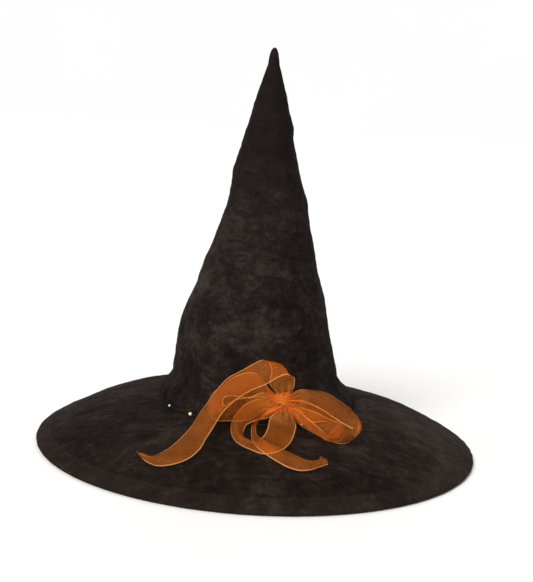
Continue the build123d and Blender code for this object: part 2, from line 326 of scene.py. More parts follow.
def organza(name, body, edge, cover, edge_cover, fades=False):
    """Sheer ribbon with a denser satin edge. U is the share across the ribbon, V runs along it.
    It covers more where it is gathered into the knot. With fades it is the knot itself: V runs
    from -1 to 1 and the cloth thins out towards both ends."""
    n = Nodes(name)
    parts = n.add("ShaderNodeSeparateXYZ", {"Vector": n.uv})
    across, along = parts.outputs[0], parts.outputs[1]
    from_edge = n.math("SUBTRACT", 0.5, n.math("ABSOLUTE", n.math("SUBTRACT", across, 0.5)))
    selvedge = n.level(from_edge, 1.0, 0.0, 0.030, 0.055)
    warp = n.math("ABSOLUTE", n.math("SINE", n.math("MULTIPLY", across, 150.0)))
    weft = n.math("ABSOLUTE", n.math("SINE", n.math("MULTIPLY", along, 6200.0)))
    threads = n.math("MULTIPLY", n.math("ADD", warp, weft), 0.5)
    cloud = n.noise(60.0, 3.0, 0.6)
    shade = n.math("ADD", n.math("MULTIPLY", threads, 0.1), n.math("MULTIPLY", cloud, 0.9))
    tone = n.ramp(shade, [(0.3, body[0]), (0.7, body[1])])
    colour = mixed(n, tone, edge, "MIX", selvedge)
    thick = n.level(threads, cover * 0.97, cover * 1.03)
    thick = n.math("MULTIPLY", thick, n.level(cloud, 0.9, 1.12, 0.3, 0.7))
    if fades:
        thinner = n.level(n.math("ABSOLUTE", along), 1.0, 0.2, 0.2, 0.95)
        thick = n.math("MULTIPLY", thick, thinner)
    else:
        off = n.away_from(KNOT)
        thick = n.math("MULTIPLY", thick, n.level(off, 1.8, 1.0, 8 * MM, 28 * MM))
        colour = mixed(n, colour, GATHERED, "MIX", n.level(off, 0.75, 0.0, 10 * MM, 32 * MM))
    alpha = n.math("MAXIMUM", thick, n.math("MULTIPLY", selvedge, edge_cover), clamp=True)
    normal = n.bumped(cloud, 0.15, 0.6 * MM)
    rough = n.level(cloud, 0.46, 0.62)
    n.finish(colour, rough, normal, Specular_IOR_Level=0.2, Sheen_Weight=0.04, Sheen_Roughness=0.4)
    through = n.add("ShaderNodeBsdfTranslucent", {"Color": colour})
    cloth = n.add("ShaderNodeMixShader", {1: n.surface.outputs[0], 2: through.outputs[0]}, Fac=0.34)
    clear = n.add("ShaderNodeBsdfTransparent", Color=SEEN_THROUGH)
    sheer = n.add("ShaderNodeMixShader", {"Fac": alpha, 1: clear.outputs[0], 2: cloth.outputs[0]})
    n.tree.links.new(sheer.outputs[0], n.out.inputs["Surface"])
    return n.material


velvet = crushed_velvet(
    "velvet_crown", (0.0040, 0.0030, 0.0027), (0.0262, 0.0190, 0.0163), (26.0, 26.0, 74.0),
    # brushed: the middle of a painted pool of light on the crown's front left.
    brushed=(-0.040, -0.054, 0.132),
)
velvet_brim = crushed_velvet(
    "velvet_brim", (0.0040, 0.0028, 0.0023), (0.0245, 0.0165, 0.0130), (26.0, 62.0, 40.0),
)
velvet_under = crushed_velvet(
    "velvet_under", (0.0040, 0.0029, 0.0024), (0.0140, 0.0096, 0.0078), (50.0, 26.0, 40.0),
)
velvet_binding = crushed_velvet(
    "velvet_binding", (0.0085, 0.0060, 0.0048), (0.0230, 0.0160, 0.0126), (60.0, 60.0, 60.0),
)
lining_cloth = woven("lining_cloth", (0.006, 0.006, 0.007), (0.018, 0.018, 0.021), 500.0, 0.5, 0.5)
buckram = woven("buckram", (0.03, 0.03, 0.028), (0.08, 0.078, 0.072), 300.0, 0.9, 0.2)
grosgrain = woven("grosgrain", (0.008, 0.008, 0.009), (0.030, 0.029, 0.029), 420.0, 0.6, 0.4, 0.8)
thread_cloth = woven("sewing_thread", (0.006, 0.005, 0.005), (0.030, 0.026, 0.023), 900.0, 0.7, 0.4)
wire_steel = metal("wire_steel", (0.30, 0.30, 0.31), (0.62, 0.61, 0.60), 0.32, (300.0, 300.0, 40.0))
ferrule_brass = metal(
    "ferrule_brass", (0.45, 0.28, 0.10), (0.80, 0.58, 0.26), 0.30, (200.0, 600.0, 200.0),
)
ribbon_cloth = organza(
    "organza", ((0.74, 0.178, 0.016), (0.92, 0.245, 0.027)), (0.96, 0.40, 0.12), 0.235, 0.62,
)
knot_cloth = organza(
    "organza_knot", ((0.78, 0.265, 0.030), (0.92, 0.350, 0.048)), (0.92, 0.36, 0.09), 0.60, 0.0,
    fades=True,
)


# ---------------------------------------------------------------- the crown

velvet_side = shell("crown_velvet", "out")
FOOT_Z, TIP_Z = velvet_side[0, 0], velvet_side[-1, 0]
core_side, lining_side = shell("crown_stiffener", "in"), shell("crown_lining", "in")

# How far the cone leans to the left, by height (mm).
LEAN = MM * np.array([
    (42, 0), (60, -3.0), (80, -5.2), (110, -6.0), (150, -5.0), (190, -3.6), (222, -2.2), (240, -2.4),
    (262, -4.6), (300, -3.6), (377, -3.6),
])

# Dents and swellings of the soft cone: turn (degrees), height (mm), depth (mm), and how far each
# reaches round (degrees) and up (mm).
DENTS = [
    (180, 236, -0.5, 34, 10), (180, 262, 1.5, 40, 13), (0, 240, 1.6, 40, 18), (0, 170, -1.4, 50, 16),
    (180, 122, 2.0, 40, 22), (0, 108, -1.2, 40, 20), (176, 152, -1.0, 20, 9), (4, 292, -1.2, 40, 8),
    (356, 306, 1.0, 40, 7), (184, 176, 1.0, 24, 9), (250, 205, -1.3, 22, 14), (285, 150, -1.2, 30, 22),
    (232, 96, 1.2, 18, 24), (308, 88, 1.1, 20, 26), (262, 280, -0.9, 30, 18), (90, 200, 1.0, 40, 40),
    (60, 110, -1.5, 25, 30), (130, 260, -1.2, 30, 16), (115, 90, 1.4, 20, 20), (30, 200, -1.2, 25, 18),
]

# Creases: turn and height (degrees, mm) of both ends, depth (mm) and half width (mm).
CREASES = [
    (238, 140, 256, 122, -2.2, 2.6), (246, 106, 268, 110, -1.6, 2.2), (232, 204, 284, 200, -1.0, 2.0),
    (236, 176, 246, 168, -1.5, 2.6), (274, 166, 264, 150, -1.1, 2.4), (196, 130, 205, 104, -1.2, 4.0),
    (300, 122, 306, 98, -1.0, 4.0), (228, 250, 240, 236, -1.0, 2.4), (320, 214, 312, 194, -1.0, 3.0),
    (258, 116, 266, 132, -0.9, 3.0), (70, 150, 84, 132, -1.4, 3.5), (118, 180, 104, 160, -1.2, 3.5),
    (25, 130, 15, 110, -1.3, 4.0), (150, 210, 160, 190, -1.2, 3.0), (45, 250, 55, 232, -1.1, 3.0),
]

# Folds where the cloth is gathered into the foot: turn (degrees), depth (mm), half width (degrees)
# and top (mm).
FOLDS = [
    (203, -1.3, 2.6, 76), (210, 1.0, 3.0, 72), (217, -0.8, 2.6, 70), (224, 1.3, 3.0, 84),
    (230, -2.2, 2.6, 96), (238, 1.2, 3.2, 80), (191, -1.3, 3.2, 76), (178, 1.2, 4.0, 80),
    (331, -1.4, 3.2, 78), (341, 1.3, 3.6, 72), (352, -1.2, 3.4, 74), (12, 1.2, 4.4, 70),
    (28, -1.5, 3.8, 82), (47, 1.2, 4.2, 72), (68, -1.3, 3.6, 78), (112, 1.2, 4.0, 70),
    (128, -1.5, 3.6, 80), (149, 1.2, 3.8, 74), (164, -1.2, 3.2, 70), (300, 0.9, 3.4, 68),
]


CREASE_R = 55 * MM  # the cone's radius about where the creases are
SEAM_RIDGE, SEAM_LINE = 6 * MM, 1 * MM  # half widths of the back seam's ridge and of its line
SHARP_R = 12 * MM  # below this radius the relief fades towards the tip
FOOT_ROUND = 0.58  # once round the crown's foot, for the cloth's own grid


def crown_points(turns, heights, radii, relief):
    """Points of a crown layer, row by row up the cone, with its dents, creases and folds."""
    turn, z = np.meshgrid(turns, heights)
    radius = np.repeat(radii[:, None], len(turns), 1)
    loose = smooth((z - FOOT_Z) / (8 * MM)) * smooth((TIP_Z + 6 * MM - z) / (70 * MM))
    push = np.zeros_like(z)
    for at, height, depth, reach, rise in DENTS:
        aside = turn_gap(turn, radians(at))
        push += depth * bump(aside, 0, radians(reach)) * bump(z, height * MM, rise * MM)
    for at_a, z_a, at_b, z_b, depth, half in CREASES:
        side, up = turn_gap(turn, radians(at_a)) * radius, z - z_a * MM
        along = turn_gap(radians(at_b), radians(at_a)) * CREASE_R, (z_b - z_a) * MM
        length = np.hypot(*along)
        share = (side * along[0] + up * along[1]) / length**2
        aside = (side * along[1] - up * along[0]) / length
        lip = 0.55 * bump(aside, 1.9 * half * MM, 1.3 * half * MM)
        push += depth * bump(share, 0.5, 0.55) * (bump(aside, 0, half * MM) - lip)
    push *= loose
    for at, depth, half, top in FOLDS:
        rise = smooth((top * MM - z) / (26 * MM)) * smooth((z - FOOT_Z + 3 * MM) / (7 * MM))
        push += depth * bump(turn_gap(turn, radians(at)), 0, radians(half)) * rise
    back = turn_gap(turn, BACK) * radius
    seam_top = smooth((TIP_Z - z) / (40 * MM))
    push += seam_top * (0.5 * bump(back, 0, SEAM_RIDGE) - 1.1 * bump(back, 0, SEAM_LINE))
    lean = np.interp(heights, LEAN[:, 0], LEAN[:, 1])
    lean = np.convolve(np.pad(lean, 12, "edge"), np.ones(25) / 25, "valid")[:, None]
    if relief:
        flat = (turned(radius, turn, z) * (1, 1, 0.8)).reshape(-1, 3)
        crush = 0.50 * grain(flat, 50, 3, 2) + 0.50 * grain(flat, 130, 5, 3)
        push += relief * crush.reshape(push.shape) * smooth((z - FOOT_Z) / (4 * MM))
        puckers = np.sin(turn * 88 + 2.5 * np.sin(turn * 9)) * bump(z, FOOT_Z + 4 * MM, 5 * MM)
        push += 0.35 * puckers * relief
    limit = np.minimum(1.0, (radius / SHARP_R) ** 1.5)
    points = turned(radius + push * MM * limit, turn, z)
    points[..., 0] += lean
    return points


def crown_layer(name, replaced, side, rows, columns, material, relief=0.0):
    """A turned layer of the crown, following one side of its CAD solid up to a closed tip."""
    share = np.linspace(0, 1, rows)
    along = np.r_[0, np.cumsum(np.hypot(*np.diff(side, axis=0).T))]
    heights = np.interp(share * along[-1], along, side[:, 0])
    radii = np.interp(share * along[-1], along, side[:, 1])
    radii[-1] = max(radii[-1], 0.05 * MM)
    points = crown_points(turns_from_back(columns), heights, radii, relief)
    tip = points[-1].mean(0)
    flat = np.vstack([points.reshape(-1, 3), tip])
    faces = [tuple(f) for f in grid_faces(rows, columns, wrap=True)]
    last = (rows - 1) * columns
    faces += [(last + c, last + (c + 1) % columns, len(flat) - 1) for c in range(columns)]
    uv = np.stack(np.meshgrid(np.linspace(0, FOOT_ROUND, columns), share * along[-1]), -1).reshape(-1, 2)
    uv = np.vstack([uv, [FOOT_ROUND / 2, along[-1]]])
    made = mesh_object(name, flat, faces, uv)
    made.data.materials.append(material)
    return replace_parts(made, replaced)


def fine(count):
    """A count of rows or columns, times a factor that is now 1."""
    return int(count * (1.0))


crown = crown_layer("crown_cloth", "crown_velvet", velvet_side, fine(340), fine(360), velvet, 1.0)
core = crown_layer("crown_interlining", "crown_stiffener", core_side, fine(120), fine(160), buckram)
inner = crown_layer(
    "crown_lining_cloth", "crown_lining", lining_side, fine(150), fine(200), lining_cloth)


# ---------------------------------------------------------------- the brim

rim_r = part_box("brim_binding")[1][0]
band_low, band_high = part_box("head_band")
opening_r = band_high[0]
wire_low, wire_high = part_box("brim_wire")
wire_z, wire_thick = (wire_low[2] + wire_high[2]) / 2, wire_high[2] - wire_low[2]
wire_r = wire_high[0] - wire_thick / 2
fold_r = rim_r - wire_r

top_rows, under_rows = shell("brim_top", "up"), shell("brim_underside", "down")
core_rows = (shell("brim_stiffener", "up") + shell("brim_stiffener", "down")) / 2
crown_foot_r = velvet_side[0, 1]
BINDING_W = 13 * MM
binding_in = top_rows[-1, 1] - 0.80 * BINDING_W

WAVES = [(1, 0.5, 0.6), (2, 1.3, 2.1), (3, 0.8, 0.4), (5, 0.5, 1.9), (8, 0.25, 5.0)]  # count, mm, start


def brim_wave(turn, radius):
    """Rise of the soft brim between the crown and the binding."""
    share = np.clip((radius - opening_r) / (binding_in - opening_r), 0, 1)
    rise = sum(high * np.sin(count * turn + start) for count, high, start in WAVES) * MM
    return rise * np.sin(pi * share) ** 1.3


def brim_layer(name, replaced, side, rows, columns, material, relief=0.0):
    """A ring of the brim that follows one side of its CAD solid."""
    radii = np.linspace(side[0, 1], side[-1, 1], rows)
    heights = np.interp(radii, side[:, 1], side[:, 0])
    turn, radius = np.meshgrid(turns_from_back(columns), radii)
    z = np.repeat(heights[:, None], columns, 1) + brim_wave(turn, radius)
    points = turned(radius, turn, z)
    if relief:
        flat = (points * (1, 1, 0.4)).reshape(-1, 3)
        crush = (0.5 * grain(flat, 45, 8, 3) + 0.3 * grain(flat, 120, 9, 3)).reshape(z.shape)
        edges = smooth((radius - radii[0]) / (6 * MM)) * smooth((binding_in - radius) / (8 * MM))
        pull = 0.25 * np.sin(turn * 92 + 2 * np.sin(turn * 7))
        pull *= bump(radius, crown_foot_r + 2 * MM, 6 * MM)
        points[..., 2] += relief * (crush + pull) * edges * MM
    uv = points[..., :2].reshape(-1, 2)
    made = mesh_object(name, points.reshape(-1, 3), grid_faces(rows, columns, wrap=True), uv)
    made.data.materials.append(material)
    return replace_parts(made, replaced)


brim = brim_layer("brim_cloth_top", "brim_top", top_rows, fine(200), fine(420), velvet_brim, 0.8)
under = brim_layer("brim_cloth_under", "brim_underside", under_rows, fine(130), fine(360), velvet_under)
under.data.flip_normals()
board = brim_layer("brim_interlining", "brim_stiffener", core_rows, 40, 180, buckram)


STITCH_STEP, STITCH_IN = 3.2 * MM, 2.2 * MM  # stitch to stitch, and binding edge to stitches
RIM_FALL = radians(37)  # slope of the brim at its rim
FOLD_STEPS = 18  # rows of the binding on each side and round the wire


def binding_strip(rows, lift):
    """(radius, height) rows of the binding where it lies on one side of the brim."""
    radii = np.linspace(binding_in, wire_r, FOLD_STEPS)
    inside = rows[rows[:, 1] <= wire_r]
    slope = np.gradient(inside[:, 0], inside[:, 1])
    heights = np.interp(radii, inside[:, 1], inside[:, 0])
    tilt = np.interp(radii, inside[:, 1], slope)
    off = lift * np.interp(radii, [binding_in, binding_in + 1.0 * MM, wire_r], [0.25, 1, 1])
    past = np.maximum(radii - inside[-1, 1], 0)
    angle = np.arctan(tilt)
    strip = np.c_[radii - off * np.sin(angle), heights + past * tilt[-1] + off * np.cos(angle)]
    return strip[np.hypot(strip[:, 0] - wire_r, strip[:, 1] - wire_z) > fold_r * 0.98]


def fold_section():
    """(radius, height) rows of the binding, from its upper edge round the wire to its lower edge."""
    lift = fold_r - (top_rows[-1, 0] - under_rows[-1, 0]) / 2 / cos(RIM_FALL)
    above, below = binding_strip(top_rows, lift), binding_strip(under_rows, -lift)
    first = np.arctan2(above[-1, 1] - wire_z, above[-1, 0] - wire_r)
    last = np.arctan2(below[-1, 1] - wire_z, below[-1, 0] - wire_r)
    nose = np.linspace(first, last - (2 * pi if last > first else 0), FOLD_STEPS)[1:-1]
    round_wire = np.c_[wire_r + fold_r * np.cos(nose), wire_z + fold_r * np.sin(nose)]
    section = np.vstack([above, round_wire, below[::-1]])
    section[:, 1] = np.maximum(section[:, 1], 0)
    return section


fold = fold_section()
fold_walked = np.r_[0, np.cumsum(np.hypot(*np.diff(fold, axis=0).T))]
fold_length = fold_walked[-1]
fold_tangent = np.gradient(fold, axis=0)
fold_tangent /= np.hypot(*fold_tangent.T)[:, None]
fold_normal = np.c_[-fold_tangent[:, 1], fold_tangent[:, 0]]


def binding(columns):
    """The velvet strip folded over the rim, drawn in along its stitches."""
    turns = turns_from_back(columns)
    turn = turns[None, :]
    from_edge = np.minimum(fold_walked, fold_length - fold_walked)[:, None]
    stitch = turn * rim_r / STITCH_STEP * 2 * pi
    groove = -0.42 * bump(from_edge, STITCH_IN, 0.9 * MM) * (0.75 + 0.25 * np.cos(stitch))
    pucker = 0.14 * np.sin(stitch / 2 + 1.3 * np.sin(turn * 31)) * bump(from_edge, 4 * MM, 3 * MM)
    drift = 0.16 * np.sin(turn * 47 + 3 * np.sin(turn * 5)) * smooth(from_edge / (4 * MM))
    push = (groove + pucker + drift) * MM
    push *= smooth(fold[:, 1] / (2.5 * MM))[:, None] * 0.9 + 0.1
    radius = fold[:, 0, None] + push * fold_normal[:, 0, None]
    z = np.maximum(fold[:, 1, None] + push * fold_normal[:, 1, None], 0)
    uv = np.stack(np.meshgrid(turns * rim_r, fold_walked), -1).reshape(-1, 2)
    faces = grid_faces(len(fold), columns, wrap=True)[:, ::-1]
    made = mesh_object("rim_binding", turned(radius, turn, z).reshape(-1, 3), faces, uv)
    made.data.materials.append(velvet_binding)
    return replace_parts(made, "brim_binding")


rim_binding = binding(fine(1600))


def tube(points, radius, sides):
    """Vertices and faces of a small tube through points, a little pinched at both ends."""
    tangent = np.gradient(points, axis=0)
    tangent /= np.linalg.norm(tangent, axis=1)[:, None]
    start = np.array([0, 0, 1.0]) if abs(tangent[0, 2]) < 0.9 else np.array([1.0, 0, 0])
    a = np.cross(tangent, start)
    a /= np.linalg.norm(a, axis=1)[:, None]
    b = np.cross(tangent, a)
    around = np.linspace(0, 2 * pi, sides, endpoint=False)[:, None]
    widths = np.full(len(points), radius) * np.r_[0.45, np.ones(len(points) - 2), 0.45]
    out = np.cos(around) * a[:, None] + np.sin(around) * b[:, None]
    rounds = points[:, None] + widths[:, None, None] * out
    return rounds.reshape(-1, 3), tube_faces(len(points), sides)


def many_tubes(name, paths, radius, sides, material):
    """One mesh with a small tube along each path."""
    points, faces, first = [], [], 0
    for path in paths:
        p, f = tube(path, radius, sides)
        points.append(p)
        faces += [tuple(i + first for i in face) for face in f]
        first += len(p)
    made = mesh_object(name, np.vstack(points), faces)
    made.data.materials.append(material)
    return made


def rim_stitches(distance):
    """Paths of the running stitch that holds the binding, at a distance round the fold."""
    at = np.array([np.interp(distance, fold_walked, fold[:, k]) for k in (0, 1)])
    off = np.array([np.interp(distance, fold_walked, fold_normal[:, k]) for k in (0, 1)])
    count = int(2 * pi * at[0] / STITCH_STEP)
    for i in range(count):
        steps = (i + np.array([0.12, 0.3, 0.5, 0.7, 0.88])) * 2 * pi / count + BACK
        high = (np.array([-0.45, -0.12, 0.02, -0.12, -0.45]) - 0.30) * MM
        r, z = at[0] + off[0] * high, at[1] + off[1] * high
        yield np.c_[r * np.cos(steps), r * np.sin(steps), z]


stitch_paths = [*rim_stitches(STITCH_IN), *rim_stitches(fold_length - STITCH_IN)]
rim_thread = many_tubes("rim_stitching", stitch_paths, 0.19 * MM, 5, thread_cloth)


# ---------------------------------------------------------------- the head band

TAPE_T, TAPE_ROUND = 0.8 * MM, 0.35 * MM  # thickness of the tape, and roundness of its edges


def head_band():
    """The tape round the head opening, with a line of stitches near each of its edges."""
    low, high = band_low[2], band_high[2]
    outer = band_high[0]
    inner_r = outer - TAPE_T
    columns = fine(420)
    turns = turns_from_back(columns)
    section = np.array([
        (outer - TAPE_ROUND, low), (inner_r + TAPE_ROUND, low), (inner_r, low + TAPE_ROUND),
        *((inner_r, z) for z in np.linspace(low + 0.8 * MM, high - 0.8 * MM, 14)),
        (inner_r, high - TAPE_ROUND), (inner_r + TAPE_ROUND, high), (outer - TAPE_ROUND, high),
        (outer, high - TAPE_ROUND), (outer, low + TAPE_ROUND),
    ])
    r = np.repeat(section[:, 0, None], columns, 1)
    z = np.repeat(section[:, 1, None], columns, 1)
    inside = r < inner_r + 0.05 * MM
    stitched = bump(z, low + 2 * MM, 0.5 * MM) + bump(z, high - 2 * MM, 0.5 * MM)
    r = r + inside * (0.22 * stitched + 0.05 * np.sin(turns * 400)[None, :]) * MM
    z = z + 0.25 * np.sin(turns * 7 + 1)[None, :] * MM * bump(z, low, 6 * MM)
    uv = np.stack(np.meshgrid(turns * outer, section[:, 1]), -1).reshape(-1, 2)
    points = turned(r, turns, z).reshape(-1, 3)
    made = mesh_object("head_band_tape", points, ring_faces(len(section), columns), uv)
    made.data.materials.append(grosgrain)
    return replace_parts(made, "head_band")


tape = head_band()


# ---------------------------------------------------------------- the beads

def bead_places():
    """Middles of the CAD beads, in order round the seam."""
    points = np.array([v.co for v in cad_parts["seam_beads"].data.vertices])
    turn = np.degrees(np.arctan2(points[:, 1], points[:, 0])) % 360
    order = np.argsort(turn)
    groups = np.split(order, np.nonzero(np.diff(turn[order]) > 5)[0] + 1)
    return [(points[g].min(0) + points[g].max(0)) / 2 for g in groups]


def bead(name, middle, radius, material, sides=28):
    """A round bead with a hole along the seam."""
    hole = 0.25 * radius
    edge = np.arcsin(hole / radius)
    angles = np.linspace(edge, pi - edge, 20)
    section = np.c_[radius * np.cos(angles), radius * np.sin(angles)]
    section = np.vstack([section, [(-0.5 * radius, hole * 0.9), (0.5 * radius, hole * 0.9)]])
    out = Vector((middle[0], middle[1], 0)).normalized()
    along = np.array([-out.y, out.x, 0])
    side, up = np.array(out), np.array([0, 0, 1.0])
    around = np.linspace(0, 2 * pi, sides, endpoint=False)[:, None]
    off = np.cos(around) * side + np.sin(around) * up
    points = middle + section[:, 0, None, None] * along + section[:, 1, None, None] * off
    made = mesh_object(name, points.reshape(-1, 3), ring_faces(len(section), sides))
    made.data.materials.append(material)
    return made


def pearl(name, dark, light, metallic):
    """A shiny pearl coat over a metallic paint."""
    n = Nodes(name)
    lustre = n.noise(420.0, 3.0, 0.5)
    colour = n.ramp(lustre, [(0.3, dark), (0.7, light)])
    return n.finish(colour, n.level(lustre, 0.12, 0.28), n.bumped(lustre, 0.1, 0.1 * MM),
                    Metallic=metallic, Coat_Weight=0.8, Coat_Roughness=0.08)


BEAD_R = 1.8 * MM
silver = pearl("pearl_silver", (0.42, 0.42, 0.40), (0.80, 0.78, 0.74), 0.3)
gold = pearl("pearl_gold", (0.62, 0.50, 0.26), (0.95, 0.86, 0.58), 0.35)
for i, (middle, scale, coat) in enumerate(zip(bead_places(), (0.72, 1.0, 0.75), (silver, gold, gold))):
    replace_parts(bead(f"bead_{i + 1}", middle, BEAD_R * scale, coat), "seam_beads")


# ---------------------------------------------------------------- the bow

KNOT_OUT = np.array([KNOT[0], KNOT[1], 0]) / np.hypot(KNOT[0], KNOT[1])
KNOT_SIDE = np.array([-KNOT_OUT[1], KNOT_OUT[0], 0])
RIBBON_W = 25 * MM

# Each ribbon: (middle, across) in mm along its way, the middle counted from the middle of the knot.
# Across runs from one edge to the other. Where it is shorter than the ribbon is wide, the ribbon
# cups or gathers.
LEFT_RIBBON = [
    ((2, -1, 3), (4, -2, 0)), ((1, -2, 9), (14, -4, 0)), ((0, -4, 16), (21, -5, 1)),
    ((0, -5, 22), (22, -6, 0)), ((0, -6, 28), (20, -8, -3)), ((-5, -8, 33), (16, -10, -7)),
    ((-12, -11, 33), (14, -10, -13)),
    ((-21, -13, 28), (12, -9, -16)), ((-32, -14, 22), (11, -9, -15)), ((-42, -16, 16), (11, -9, -15)),
    ((-50, -18, 8), (11, -10, -13)), ((-57, -21, -1), (12, -11, -10)), ((-64, -25, -12), (13, -12, -9)),
    ((-70, -31, -22), (15, -17, -4)), ((-77, -45, -29), (20, -13, -3)), ((-86, -57, -35), (19, -13, -3)),
    ((-97, -63, -39), (16, -13, -4)), ((-108, -62, -41), (11, -13, -4)), ((-116, -58, -39), (6, -9, -3)),
    ((-121, -55, -36), (2, -2, -1)),
]
LEFT_LOOP = [
    ((-2, -1, 2), (1, -2, -3)), ((-11, -2, 8), (2, -6, -8)), ((-20, -2, 15), (3, -8, -18)),
    ((-30, -4, 15.5), (3, -9, -21)), ((-41, -4, 13), (6, -9, -15)), ((-50, -6, 9), (9, -9, -6)),
    ((-56, -8, 5), (12, -8, 0)), ((-58, -9, -1), (13, -7, 4)), ((-56, -11, -7), (13, -6, 11)),
    ((-50, -10, -8), (11, -8, 20)), ((-41, -10, -6), (7, -5, 23)), ((-29, -8, -5), (4, -5, 24)),
    ((-17, -7, 1), (2, -2, 20)), ((-7, -4, 2), (1, 0, 10)), ((-2, -2, 0), (1, 0, 4)),
]
LOWER_LOOP = [
    ((3, -4, 2), (2, -1, -3)), ((-4, -8, 0), (7, -3, -9)), ((-14, -13, -2), (9, -6, -15)),
    ((-24, -19, -4), (10, -8, -13)), ((-32, -26, -8), (11, -9, -8)), ((-36, -33, -12), (12, -6, -3)),
    ((-37, -38, -18), (11, -1, -1)), ((-35, -43, -22), (8, 3, 3)), ((-30, -47, -25), (5, 7, 3)),
    ((-24, -49, -27), (0, 10, 3)), ((-17, -49, -28), (-6, 15, 5)), ((-10, -47, -26), (-13, 18, 6)),
    ((-4, -42, -23), (-18, 17, 7)), ((0, -33, -19), (-21, 13, 8)), ((2, -23, -14), (-23, 9, 7)),
    ((4, -15, -10), (-20, 6, 6)), ((4, -8, -6), (-11, 4, 3)), ((4, -4, 0), (-4, 1, 1)),
]
RIGHT_RIBBON = [
    ((-6, -10, -3), (4, 0, 2)), ((-14, -17, -7), (3, 2, 2)), ((-21, -24, -12), (4, 3, 1)),
    ((-23, -31, -16), (4, 4, 1)), ((-22, -39, -21), (4, 5, 2)), ((-17, -48, -24), (4, 10, 4)),
    ((-8, -56, -27), (4, 15, 6)), ((2, -62, -30), (4, 14, 7)), ((12, -66, -33), (4, 14, 7)),
    ((20, -68, -35), (4, 13, 6)), ((28, -68, -35), (3, 11, 5)), ((34, -66, -33), (1, 9, 5)),
    ((39, -64, -30), (-4, 7, 6)),
]
RIGHT_OUTER_LOOP = [
    ((4, -2, 2), (2, -2, -1)), ((10, -2, 6), (3, -5, -5)), ((18, -2, 8), (2, -9, -10)),
    ((29, -2, 7), (-2, -11, -11)), ((40, -4, 4), (-5, -13, -12)), ((50, -4, -2), (-8, -14, -11)),
    ((59, -5, -7), (-8, -14, -10)),
    ((66, -7, -12), (-5, -11, -7)), ((67, -11, -16), (-5, -8, 1)), ((62, -14, -20), (-5, -3, 13)),
    ((54, -19, -19), (-4, 5, 18)), ((44, -18, -17), (-3, 6, 19)), ((32, -13, -13), (-2, 5, 19)),
    ((20, -7, -10), (-1, 3, 17)), ((11, -5, -5), (-2, 1, 12)), ((4, -3, -1), (-1, 1, 3)),
]
RIGHT_INNER_LOOP = [
    ((4, -5, 2), (1, -1, -3)), ((13, -9, 2), (0, -4, -8)), ((22, -13, -1), (-1, -6, -13)),
    ((31, -17, -4), (-4, -7, -12)), ((41, -20, -6), (-4, -4, -6)), ((49, -21, -10), (-6, -1, -2)),
    ((52, -22, -16), (-9, 0, 2)),
    ((49, -24, -21), (-11, 0, 5)), ((42, -25, -21), (-9, 1, 9)), ((34, -22, -17), (-6, 1, 11)),
    ((24, -17, -12), (-4, 1, 12)), ((16, -12, -7), (-2, 1, 10)), ((7, -6, -3), (0, 1, 3)),
]


def curve_through(points, count):
    """A smooth curve through points, evenly spaced, by Catmull and Rom's cubics."""
    points = np.asarray(points, float)
    ends = np.vstack([2 * points[0] - points[1], points, 2 * points[-1] - points[-2]])
    t = np.linspace(0, len(points) - 1, 24 * len(points))
    i = np.minimum(t.astype(int), len(points) - 2)
    s = (t - i)[:, None]
    p0, p1, p2, p3 = ends[i], ends[i + 1], ends[i + 2], ends[i + 3]
    squared, cubed = 2 * p0 - 5 * p1 + 4 * p2 - p3, 3 * p1 - p0 - 3 * p2 + p3
    curve = 0.5 * (2 * p1 + (p2 - p0) * s + squared * s**2 + cubed * s**3)
    walked = np.r_[0, np.cumsum(np.linalg.norm(np.diff(curve[:, :3], axis=0), axis=1))]
    even = np.linspace(0, walked[-1], count)
    return np.stack([np.interp(even, walked, column) for column in curve.T], 1), walked[-1]


def unit(v):
    """Vectors brought to length 1."""
    return v / np.maximum(np.linalg.norm(v, axis=-1, keepdims=True), 1e-9)


RIBBON_STEP = 1.1 * MM  # from row to row along a ribbon
RIBBON_COLUMNS = 37


